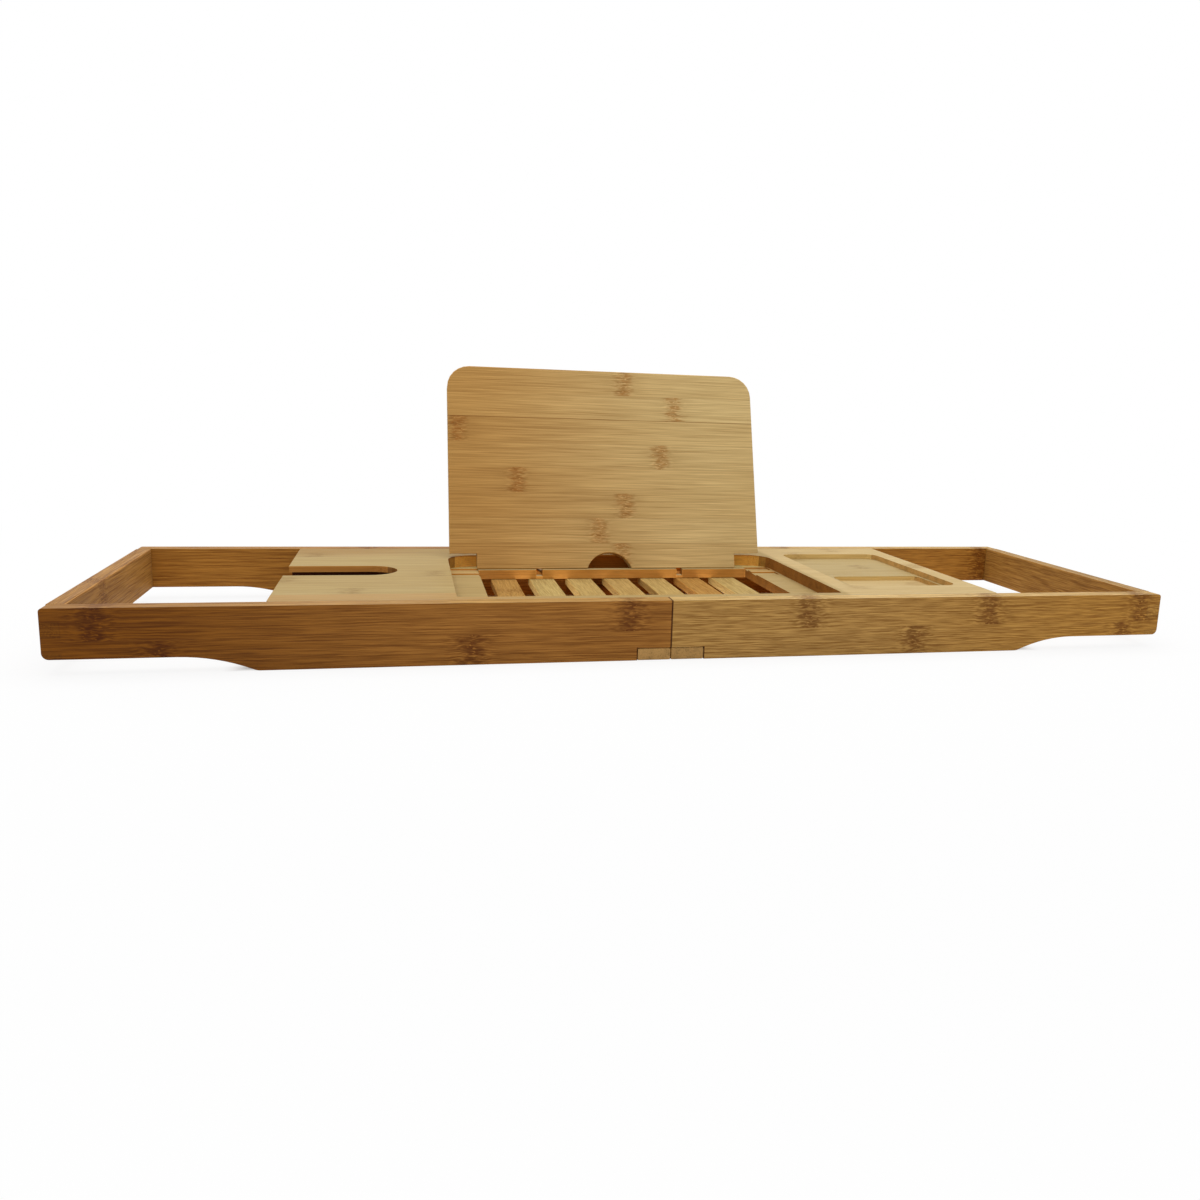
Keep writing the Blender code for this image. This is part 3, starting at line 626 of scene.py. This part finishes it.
def dress(nodes, material):
    """Give CAD nodes a finish in place of their plain colours."""
    for name in nodes:
        mesh = frame["nodes"][name].data
        mesh.materials.clear()
        mesh.materials.append(material)


class CADDY_OT_tray(bpy.types.Operator):
    """Finish the routed tray board, its runners and its stops"""
    bl_idname = "caddy.tray"
    bl_label = "Tray"

    low = -105.5 * MM
    span = (-0.4, 0.4)
    rows = ((0.10, -0.3), (-0.205, 0.15), (0.19, -0.3), (-0.251, 0.22), (0.05, -0.15), (0.24, -0.3),
            (-0.06, 0.2), (0.12, -0.3), (-0.239, 0.16), (0.2, -0.05))

    def execute(self, context):
        tones = context.scene.caddy_tones
        cut = Cut("XYZ", face=tones.tray_face, edge=tones.tray_wall, end=tones.tray_end,
                  far=tones.tray_far, far_edge=tones.recess_wall, far_end=tones.recess_end,
                  first=tones.tray_front, drift=(0.129, 0.1345), low=self.low, rows=self.rows,
                  span=self.span, contrast=0.4, knuckle=0.35, tint=0.22, long=2.5, short=0.5, glued=0.3,
                  gloss=0.05, marks_and_painted_light=tray_marks_and_painted_light)
        dress([n for n in frame["nodes"] if n.startswith(("tray_", "stop_"))], bamboo("bamboo_tray", cut))
        return {"FINISHED"}


class CADDY_OT_slats(bpy.types.Operator):
    """Finish the seven slats, each in a tone of its own"""
    bl_idname = "caddy.slats"
    bl_label = "Slats"

    warm_shares = (0.85, 0.0, 0.2, 0.4, 0.25, 1.0, 0.1)

    def execute(self, context):
        tones = context.scene.caddy_tones
        for number, share in enumerate(self.warm_shares, 1):
            face = tuple(p + (w - p) * share for p, w in zip(tones.slat_face, tones.slat_warm))
            cut = Cut("YXZ", face=face, edge=face, end=tones.tray_end, low=-0.5, strip=1.0, contrast=0.6,
                      knuckle=0.5, tint=0.0, seed=number)
            dress([f"slat_{number}"], bamboo(f"bamboo_slat_{number}", cut))
        return {"FINISHED"}


class CADDY_OT_arms(bpy.types.Operator):
    """Finish the rails, end bars and cross bars of both arms"""
    bl_idname = "caddy.arms"
    bl_label = "Arms"

    low = -0.5 * MM
    strip = 20.25 * MM
    span = (-0.5, 0.5)
    drift = (0.10, 0.36)
    left_rows = ((-0.314, -0.131), (-0.347, -0.0285))
    right_rows = ((0.177, 0.3445, 0.3445), (0.097, 0.234, 0.3585))
    left_back_rows = ((-0.15, -0.02), (-0.2, -0.08))
    right_back_rows = ((0.06, 0.358), (0.16, 0.358))
    left_bar_rows = ((-0.035, 0.3), (-0.03, 0.3))
    right_bar_rows = ((-0.3, 0.3), (0.3, -0.3))

    def execute(self, context):
        self.finish(context, "left", -1, 2.2, self.left_rows, self.left_back_rows, self.left_bar_rows)
        self.finish(context, "right", 1, 1.3, self.right_rows, self.right_back_rows, self.right_bar_rows)
        return {"FINISHED"}

    def finish(self, context, label, side, long, front_rows, back_rows, bar_rows):
        """Finish one arm. side is -1 for the left arm and 1 for the right one."""
        # The face and back tones are darker than the tops (edge), partly by painted shade
        face, far, back, bar, edge, far_edge = (
            tuple(getattr(context.scene.caddy_tones, f"{label}_{part}"))
            for part in ("face", "far", "back", "bar", "edge", "edge_far"))
        shared = dict(end=context.scene.caddy_tones.arm_end, low=self.low, strip=self.strip,
                      span=self.span, tint=0.15, long=long)
        along = dict(drift=[side * x for x in self.drift], marks_and_painted_light=arm_stains, **shared)
        front = Cut("XZY", face=face, far=far, edge=edge, far_edge=far_edge, rows=front_rows, seed=side,
                    **along)
        rear = Cut("XZY", face=back, edge=far_edge, outer=(face, far), rows=back_rows, seed=side + 2,
                   **along)
        bars = Cut("YZX", face=bar, edge=far_edge, rows=bar_rows, knuckle=0.6, seed=side + 5, **shared)
        dress([f"{label}_rail_front"], bamboo(f"bamboo_{label}_rail_front", front))
        dress([f"{label}_rail_back"], bamboo(f"bamboo_{label}_rail_back", rear))
        dress([f"{label}_end_bar", f"{label}_cross_bar"], bamboo(f"bamboo_{label}_bars", bars))


class CADDY_OT_stand(bpy.types.Operator):
    """Finish the reading stand's board"""
    bl_idname = "caddy.stand"
    bl_label = "Reading stand"

    lean = math.radians(18)
    strip = 20.8 * MM
    span = (-0.4, 0.4)
    rows = ((0.002, -0.3), (-0.017, 0.25), (0.006, -0.3), (-0.0825, 0.2), (0.038, -0.25), (-0.1296, 0.3),
            (0.0507, -0.3), (0.0079, 0.3))

    def execute(self, context):
        tones = context.scene.caddy_tones
        low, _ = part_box("stand_board")
        cut = Cut("XZY", face=tones.board_face, far=tones.board_far, edge=tones.board_edge,
                  end=tones.board_edge, drift=(0.09, -0.14), low=low[2], strip=self.strip, tilt=self.lean,
                  pivot=(0.0, low[1], low[2]), rows=self.rows, span=self.span, contrast=0.6, knuckle=0.85,
                  mark=(0.66, 0.45, 0.28), reach=14 * MM, knot=11 * MM, fibre=0.75 * MM, long=2.6,
                  short=0.35, tint=0.35, glued=0.7, lift=2)
        dress(["stand_board"], bamboo("bamboo_board", cut))
        return {"FINISHED"}


def weld(mesh):
    """Join the points that meet at a mesh's seams and poles."""
    shape = bmesh.new()
    shape.from_mesh(mesh)
    bmesh.ops.remove_doubles(shape, verts=shape.verts, dist=0.001 * MM)
    shape.to_mesh(mesh)
    shape.free()


def make_piece(name, points, faces, material, body, slot):
    """A smooth mesh piece from arrays of points and four-sided faces, riding on a body."""
    mesh = bpy.data.meshes.new(name)
    mesh.from_pydata(np.reshape(points, (-1, 3)).tolist(), [], faces.tolist())
    weld(mesh)
    mesh.shade_smooth()
    mesh.set_sharp_from_angle(angle=math.radians(40))
    mesh.materials.append(material)
    piece = bpy.data.objects.new(name, mesh)
    bpy.context.scene.collection.objects.link(piece)
    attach(piece, body)
    return piece


def grid_faces(rows, columns):
    """Faces between the rings of a grid whose columns close on themselves."""
    row, column = np.meshgrid(np.arange(rows - 1), np.arange(columns), indexing="ij")
    first, after = row * columns + column, row * columns + (column + 1) % columns
    return np.stack([first, after, after + columns, first + columns], axis=-1).reshape(-1, 4)


def arc_points(centre, radius, start, stop, steps):
    """Points along an arc in a plane: centre + radius (cos t, sin t)."""
    angle = np.radians(np.linspace(start, stop, steps))
    return np.stack([centre[0] + radius * np.cos(angle), centre[1] + radius * np.sin(angle)], axis=-1)


def swept_rod(path, normal, radius, sides, tip, tip_steps=5):
    """A round rod along a flat path.

    A ring stands at each point of the path: point + r (cos a normal + sin a (tangent x normal)). The rings
    at both ends shrink along a quarter circle of the tip's size to a point, so the ends are rounded.
    """
    tangent = np.gradient(path, axis=0)
    tangent /= np.linalg.norm(tangent, axis=1)[:, None]
    turn = np.linspace(0, np.pi / 2, tip_steps)
    back, shrink = tip * np.sin(turn), radius - tip + tip * np.cos(turn)
    shrink[-1] = 0.0
    start = path[0] - tangent[0] * back[::-1, None]
    stop = path[-1] + tangent[-1] * back[:, None]
    spine = np.concatenate([start, path[1:-1], stop])
    sizes = np.concatenate([shrink[::-1], np.full(len(path) - 2, radius), shrink])
    along = np.concatenate([np.repeat(tangent[:1], tip_steps, 0), tangent[1:-1],
                            np.repeat(tangent[-1:], tip_steps, 0)])
    across = np.cross(along, normal)
    angle = np.linspace(0, 2 * np.pi, sides, endpoint=False)
    ring = np.cos(angle)[None, :, None] * normal + np.sin(angle)[None, :, None] * across[:, None, :]
    return spine[:, None, :] + sizes[:, None, None] * ring, grid_faces(len(spine), sides)


def screw_heads(places, up, radius, dome):
    """Cross-slotted screw heads at many places.

    The height over a disc is dome (1 - (r/R)^2), less a cross-shaped slot that fades out at 0.68 R, and
    the rim drops below the surface. up is 1 for heads that face up and -1 for heads that face down.
    """
    above, rim, sunk = 0.12 * MM, 0.05 * MM, -0.1 * MM
    rings = np.concatenate([np.linspace(0, 0.985, 16), [1.0, 1.0]]) * radius
    angle = np.linspace(0, 2 * np.pi, 40, endpoint=False)
    x, y = rings[:, None] * np.cos(angle), rings[:, None] * np.sin(angle)
    arm = np.clip((0.16 * radius - np.minimum(abs(x), abs(y))) / (0.07 * radius), 0, 1)
    reach = np.clip((0.68 * radius - np.hypot(x, y)) / (0.1 * radius), 0, 1)
    height = dome * (1 - (np.hypot(x, y) / radius) ** 2) + above - 0.75 * dome * arm * reach
    height[-2:] = [[rim], [sunk]]
    head = np.stack([x, y * up, height * up], axis=-1)
    points = np.asarray(places)[:, None, None, :] + head
    faces = grid_faces(len(rings), len(angle))[:, ::-1]
    return points, (faces + np.arange(len(places))[:, None, None] * x.size).reshape(-1, 4)


def ribbed_strip(low, high, pitch, rib):
    """A soft strip with rounded ends and ribs across its underside.

    Its section is a rounded box, |y/w|^4 + |z/h|^4 = 1, swept along X, and it narrows over the last
    millimetres as a quarter circle. The underside dips between ribs by a cosine of the distance along.
    """
    middle, half = (low + high) / 2, (high - low) / 2
    share = np.sin(np.linspace(0, np.pi / 2, 13))
    ends = half[0] - half[1] + half[1] * share
    run = np.arange(-half[0] + half[1], half[0] - half[1], pitch / 8)
    x = np.concatenate([-ends[::-1], run[1:-1], ends])
    over = np.clip((abs(x) - (half[0] - half[1])) / half[1], 0, 1)
    width = half[1] * np.sqrt(np.clip(1 - over ** 2, 0, 1))
    angle = np.linspace(0, 2 * np.pi, 32, endpoint=False)
    flat = (abs(np.cos(angle)) ** 4 + abs(np.sin(angle)) ** 4) ** -0.25
    y = width[:, None] * (np.cos(angle) * flat)[None, :]
    z = half[2] * np.sin(angle) * flat * np.ones_like(x)[:, None]
    groove = rib * (0.5 + 0.5 * np.cos(2 * np.pi * x / pitch))[:, None]
    z = np.where(z < 0, z + groove * np.clip(-z / half[2], 0, 1), z)
    points = np.stack([x[:, None] * np.ones_like(y), y, z], axis=-1) + middle
    return points, grid_faces(len(x), len(angle))


class CADDY_OT_hardware(bpy.types.Operator):
    """Finish the wire prop, its straps and lugs, and the silicone grips, and add the screws"""
    bl_idname = "caddy.hardware"
    bl_label = "Hardware"

    bend = 4 * MM
    pin = 11 * MM
    pin_tip = 0.4 * MM
    runner_screw = (2.6 * MM, 0.45 * MM)
    runner_inset = 25 * MM
    runner_line = 4.6 * MM
    stop_step = 8 * MM
    slat_screw = (1.9 * MM, 0.35 * MM)
    slat_inset = 4 * MM
    strap_screw = (1.5 * MM, 0.25 * MM)
    strap_inset = 2 * MM
    flange = 1 * MM
    rib_pitch = 2.4 * MM
    rib_depth = 0.45 * MM
    # How many lines or clouds a metre holds along X, Y and Z
    drawn, rolled, plated, clouds = (90, 90, 900), (900, 120, 120), (300, 300, 300), (70, 70, 70)

    def execute(self, context):
        tones = context.scene.caddy_metal
        plate = self.metal("steel_plate", tones.plate, 0.38, self.rolled)
        dress(["prop_strap_left", "prop_strap_right", "stand_lug_left", "stand_lug_right"], plate)
        self.make_wire(self.metal("steel_wire", tones.wire, 0.34, self.drawn))
        self.make_screws(self.metal("zinc", tones.screw, 0.30, self.plated))
        self.make_grips(self.silicone(tones.grip))
        return {"FINISHED"}

    def metal(self, name, colour, rough, counts):
        """Steel or zinc: so many lines to a metre in the roughness and the bump, under a faint cloud."""
        desk = Desk(name)
        place = place_parts(desk)
        lines = desk.noise(place, [1 / count for count in counts], 3.0)
        cloud = desk.noise(place, [1 / count for count in self.clouds])
        dull = tuple(0.78 * c for c in colour)
        desk.paint({"Base Color": desk.blend(desk.ease(cloud, 0.35, 0.7), tuple(colour), dull),
                    "Roughness": desk.ease(lines, 0.3, 0.7, rough - 0.08, rough + 0.12), "Metallic": 1})
        desk.bump(lines, 0.25, 0.02 * MM)
        return desk.block

    def silicone(self, colour):
        """Milky silicone: even and dull, with a fine skin and dust in its hollows."""
        desk = Desk("silicone")
        skin = desk.noise(place_parts(desk), (2.5 * MM, 2.5 * MM, 2.5 * MM), 3.0)
        dust = desk.ease(skin, 0.45, 0.7, 0.0, 0.5)
        dusty = tuple(c * ratio for c, ratio in zip(colour, (0.86, 0.84, 0.80)))
        desk.paint({"Base Color": desk.blend(dust, tuple(colour), dusty), "Roughness": 0.55,
                    "Subsurface Weight": 0.15, "Subsurface Scale": 1 * MM})
        desk.bump(skin, 0.3, 0.05 * MM)
        return desk.block

    def make_wire(self, material):
        """The prop: a foot along X, two arms with rounded bends, and two pins bent outwards."""
        hinges = {joint["name"]: np.array(joint["pos_m"]) for joint in frame["joints"] if "pos_m" in joint}
        foot, top = hinges["prop_fold"], hinges["board_fold"]
        low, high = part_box("prop_wire")
        radius = foot[2] - low[2]
        reach = np.linalg.norm(top - foot)
        bend, pin = self.bend, self.pin
        half = (high[0] - low[0]) / 2 - bend - pin
        lower = arc_points((half - bend, bend), bend, 270, 360, 9)
        upper = arc_points((half + bend, reach - bend), bend, 180, 90, 9)
        right = np.concatenate([lower, upper, [(half + bend + pin - self.pin_tip, reach)]])
        path = np.concatenate([right[::-1] * (-1, 1), right])
        away = (top - foot) / reach
        across = np.array((1.0, 0.0, 0.0))
        spine = foot + path[:, :1] * across + path[:, 1:] * away
        points, faces = swept_rod(spine, np.cross(across, away), radius, 20, self.pin_tip)
        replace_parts(make_piece("prop_rod", points, faces, material, "prop", "steel"), "prop_wire")

    def make_screws(self, material):
        """Screws that hold the runners, the stops, the slats and the prop's straps to the board."""
        runners = []
        for end, side in (("front", -1), ("back", 1)):
            low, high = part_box(f"tray_runner_{end}")
            line = (low[1] if side > 0 else high[1]) + side * self.runner_line
            runners += [(x, line, low[2])
                        for x in np.linspace(low[0] + self.runner_inset, high[0] - self.runner_inset, 6)]
        for name in frame["nodes"]:
            if name.startswith("stop_"):
                low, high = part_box(name)
                x, y = (low[0] + high[0]) / 2, (low[1] + high[1]) / 2
                runners += [(x, y - self.stop_step, low[2]), (x, y + self.stop_step, low[2])]
        slats = [place for number in range(1, 8)
                 for place in self.both_ends(f"slat_{number}", self.slat_inset, 0.0)]
        straps = [place for label in ("left", "right")
                  for place in self.both_ends(f"prop_strap_{label}", self.strap_inset, self.flange)]
        for name, places, up, size in (("runner_screws", runners, -1, self.runner_screw),
                                       ("slat_screws", slats, -1, self.slat_screw),
                                       ("strap_screws", straps, 1, self.strap_screw)):
            make_piece(name, *screw_heads(places, up, *size), material, "tray", "steel")

    def both_ends(self, node, inset, lift):
        """The two places near a node's front and back ends, in its middle, lifted from its underside."""
        low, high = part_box(node)
        middle = (low[0] + high[0]) / 2
        return [(middle, y, low[2] + lift) for y in (low[1] + inset, high[1] - inset)]

    def make_grips(self, material):
        """The silicone strips under the arms' outer ends, ribbed across."""
        for label in ("left", "right"):
            for end in ("front", "back"):
                node = f"{label}_grip_{end}"
                low, high = (np.array(corner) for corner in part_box(node))
                strip = ribbed_strip(low, high, self.rib_pitch, self.rib_depth)
                grip = make_piece(f"{node}_ribbed", *strip, material, f"{label}_arm", "silicone")
                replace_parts(grip, node)


class CADDY_OT_stage(bpy.types.Operator):
    """Set up the floor, the light and the camera"""
    bl_idname = "caddy.stage"
    bl_label = "Stage"

    floor_reach = 6.0
    white_from, white_to = 0.35, 0.8
    hidden_x, hidden_y = (0.25, 0.28), (0.106, 0.12)
    lamp_size, lamp_place, lamp_turn = (2.2, 1.4), (0.0, 0.35, 1.6), 12
    fill_size, fill_place = (0.2, 0.13), (0.0, -0.01, 2 * MM)
    bounce_size, bounce_place = (0.4, 0.18), (0.0, 0.0, 16.5 * MM)
    seat_size, seat_inset, seat_y, seat_z = (14 * MM, 10 * MM), 15 * MM, 66.5 * MM, 30.8 * MM
    camera_place = (-0.1687, -0.7538, 0.1730)
    camera_turn, camera_dip, camera_roll = -13.835, 10.901, 2.079
    camera_shift = (-0.0463, -0.0078)

    def execute(self, context):
        look, scene = context.scene.caddy_stage, context.scene
        scene.view_settings.view_transform = "Standard"
        self.make_floor(look)
        self.make_sky(scene, look)
        self.make_lamp("lamp", self.lamp_size, look.lamp, self.lamp_place, self.lamp_turn)
        self.make_lamp("fill_lamp", self.fill_size, look.fill, self.fill_place, 180)
        self.make_lamp("bounce_lamp", self.bounce_size, look.bounce, self.bounce_place, 0,
                       look.bounce_tone)
        low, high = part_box("prop_wire")
        for label, x in (("left", low[0] + self.seat_inset), ("right", high[0] - self.seat_inset)):
            self.make_lamp(f"seat_lamp_{label}", self.seat_size, look.seat, (x, self.seat_y, self.seat_z),
                           0, look.seat_tone)
        self.make_camera(scene, look)
        return {"FINISHED"}

    def make_floor(self, look):
        """A pale floor that takes shadows and light, and is white to the camera away from the caddy."""
        reach = self.floor_reach
        mesh = bpy.data.meshes.new("floor")
        corners = [(-reach, -reach, 0), (reach, -reach, 0), (reach, reach, 0), (-reach, reach, 0)]
        mesh.from_pydata(corners, [], [(0, 1, 2, 3)])
        floor = bpy.data.objects.new("floor", mesh)
        bpy.context.scene.collection.objects.link(floor)
        desk = Desk("pale_floor")
        desk.paint({"Base Color": (*look.floor, 1), "Roughness": 0.9, "Specular IOR Level": 0.1})
        glow = desk.add("Emission", {"Strength": 1})[0]
        place = desk.add("TexCoord")["Object"]
        spot = desk.add("VectorMath", (place,), operation="LENGTH")["Value"]
        white = desk.ease(spot, self.white_from, self.white_to, 0.88, 1.0)
        side_x, side_y, _ = desk.split(place)
        outside = desk.math("MAXIMUM", desk.ease(desk.away(side_x), *self.hidden_x),
                            desk.ease(desk.away(side_y), *self.hidden_y))
        desk.overlay(desk.times(desk.add("LightPath")["Is Camera Ray"], white, outside), glow)
        mesh.materials.append(desk.block)

    def make_sky(self, scene, look):
        """Even light from all round, and plain white to the camera and in reflections."""
        desk = Desk("sky", "worlds", "Background")
        scene.world = desk.block
        white = (1, 1, 1, 1)
        desk.paint({"Color": white, "Strength": look.sky})
        plain = desk.add("Background", {"Color": white, "Strength": 1})[0]
        ray = desk.add("LightPath")
        seen = desk.math("MAXIMUM", ray["Is Camera Ray"], ray["Is Glossy Ray"])
        desk.overlay(seen, plain, "World Output")

    def make_lamp(self, name, size, energy, place, turn, colour=(1, 1, 1)):
        """A flat lamp that shines down, turned about X by some degrees, and isn't seen itself."""
        light = bpy.data.lights.new(name, "AREA")
        light.shape = "RECTANGLE"
        light.size, light.size_y = size
        light.energy = energy
        light.color = colour
        lamp = bpy.data.objects.new(name, light)
        bpy.context.scene.collection.objects.link(lamp)
        lamp.matrix_world = Matrix.Translation(place) @ Matrix.Rotation(math.radians(turn), 4, "X")
        lamp.visible_camera = False

    def make_camera(self, scene, look):
        """The camera that the photo's corners were fitted with."""
        data = bpy.data.cameras.new("camera")
        data.lens = look.lens
        data.sensor_width = 36
        data.shift_x, data.shift_y = self.camera_shift
        data.clip_start = 0.01
        camera = bpy.data.objects.new("camera", data)
        scene.collection.objects.link(camera)
        camera.matrix_world = (Matrix.Translation(self.camera_place)
                               @ Matrix.Rotation(math.radians(self.camera_turn), 4, "Z")
                               @ Matrix.Rotation(math.radians(90 - self.camera_dip), 4, "X")
                               @ Matrix.Rotation(math.radians(self.camera_roll), 4, "Z"))
        scene.camera = camera


OPERATORS = (CADDY_OT_tray, CADDY_OT_slats, CADDY_OT_arms, CADDY_OT_stand, CADDY_OT_hardware, CADDY_OT_stage)
GROUPS = {"caddy_tones": BambooTones, "caddy_makeup": BambooMakeup, "caddy_metal": MetalTones,
          "caddy_stage": StageLook}


class CADDY_PT_panel(bpy.types.Panel):
    """Lists the steps that finish the caddy"""
    bl_idname = "CADDY_PT_panel"
    bl_label = "Bath caddy"
    bl_space_type = "VIEW_3D"
    bl_region_type = "UI"
    bl_category = "Caddy"

    def draw(self, context):
        for operator in OPERATORS:
            self.layout.operator(operator.bl_idname)


def register():
    """Add the add-on's classes and settings."""
    for kind in (*GROUPS.values(), *OPERATORS, CADDY_PT_panel):
        bpy.utils.register_class(kind)
    for name, group in GROUPS.items():
        setattr(bpy.types.Scene, name, PointerProperty(type=group))


def unregister():
    """Remove the add-on's classes and settings."""
    for name in GROUPS:
        delattr(bpy.types.Scene, name)
    for kind in (CADDY_PT_panel, *OPERATORS, *GROUPS.values()):
        bpy.utils.unregister_class(kind)


def main():
    """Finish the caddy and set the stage."""
    register()
    bpy.ops.caddy.tray()
    bpy.ops.caddy.slats()
    bpy.ops.caddy.arms()
    bpy.ops.caddy.stand()
    bpy.ops.caddy.hardware()
    bpy.ops.caddy.stage()


if __name__ == "__main__":
    main()
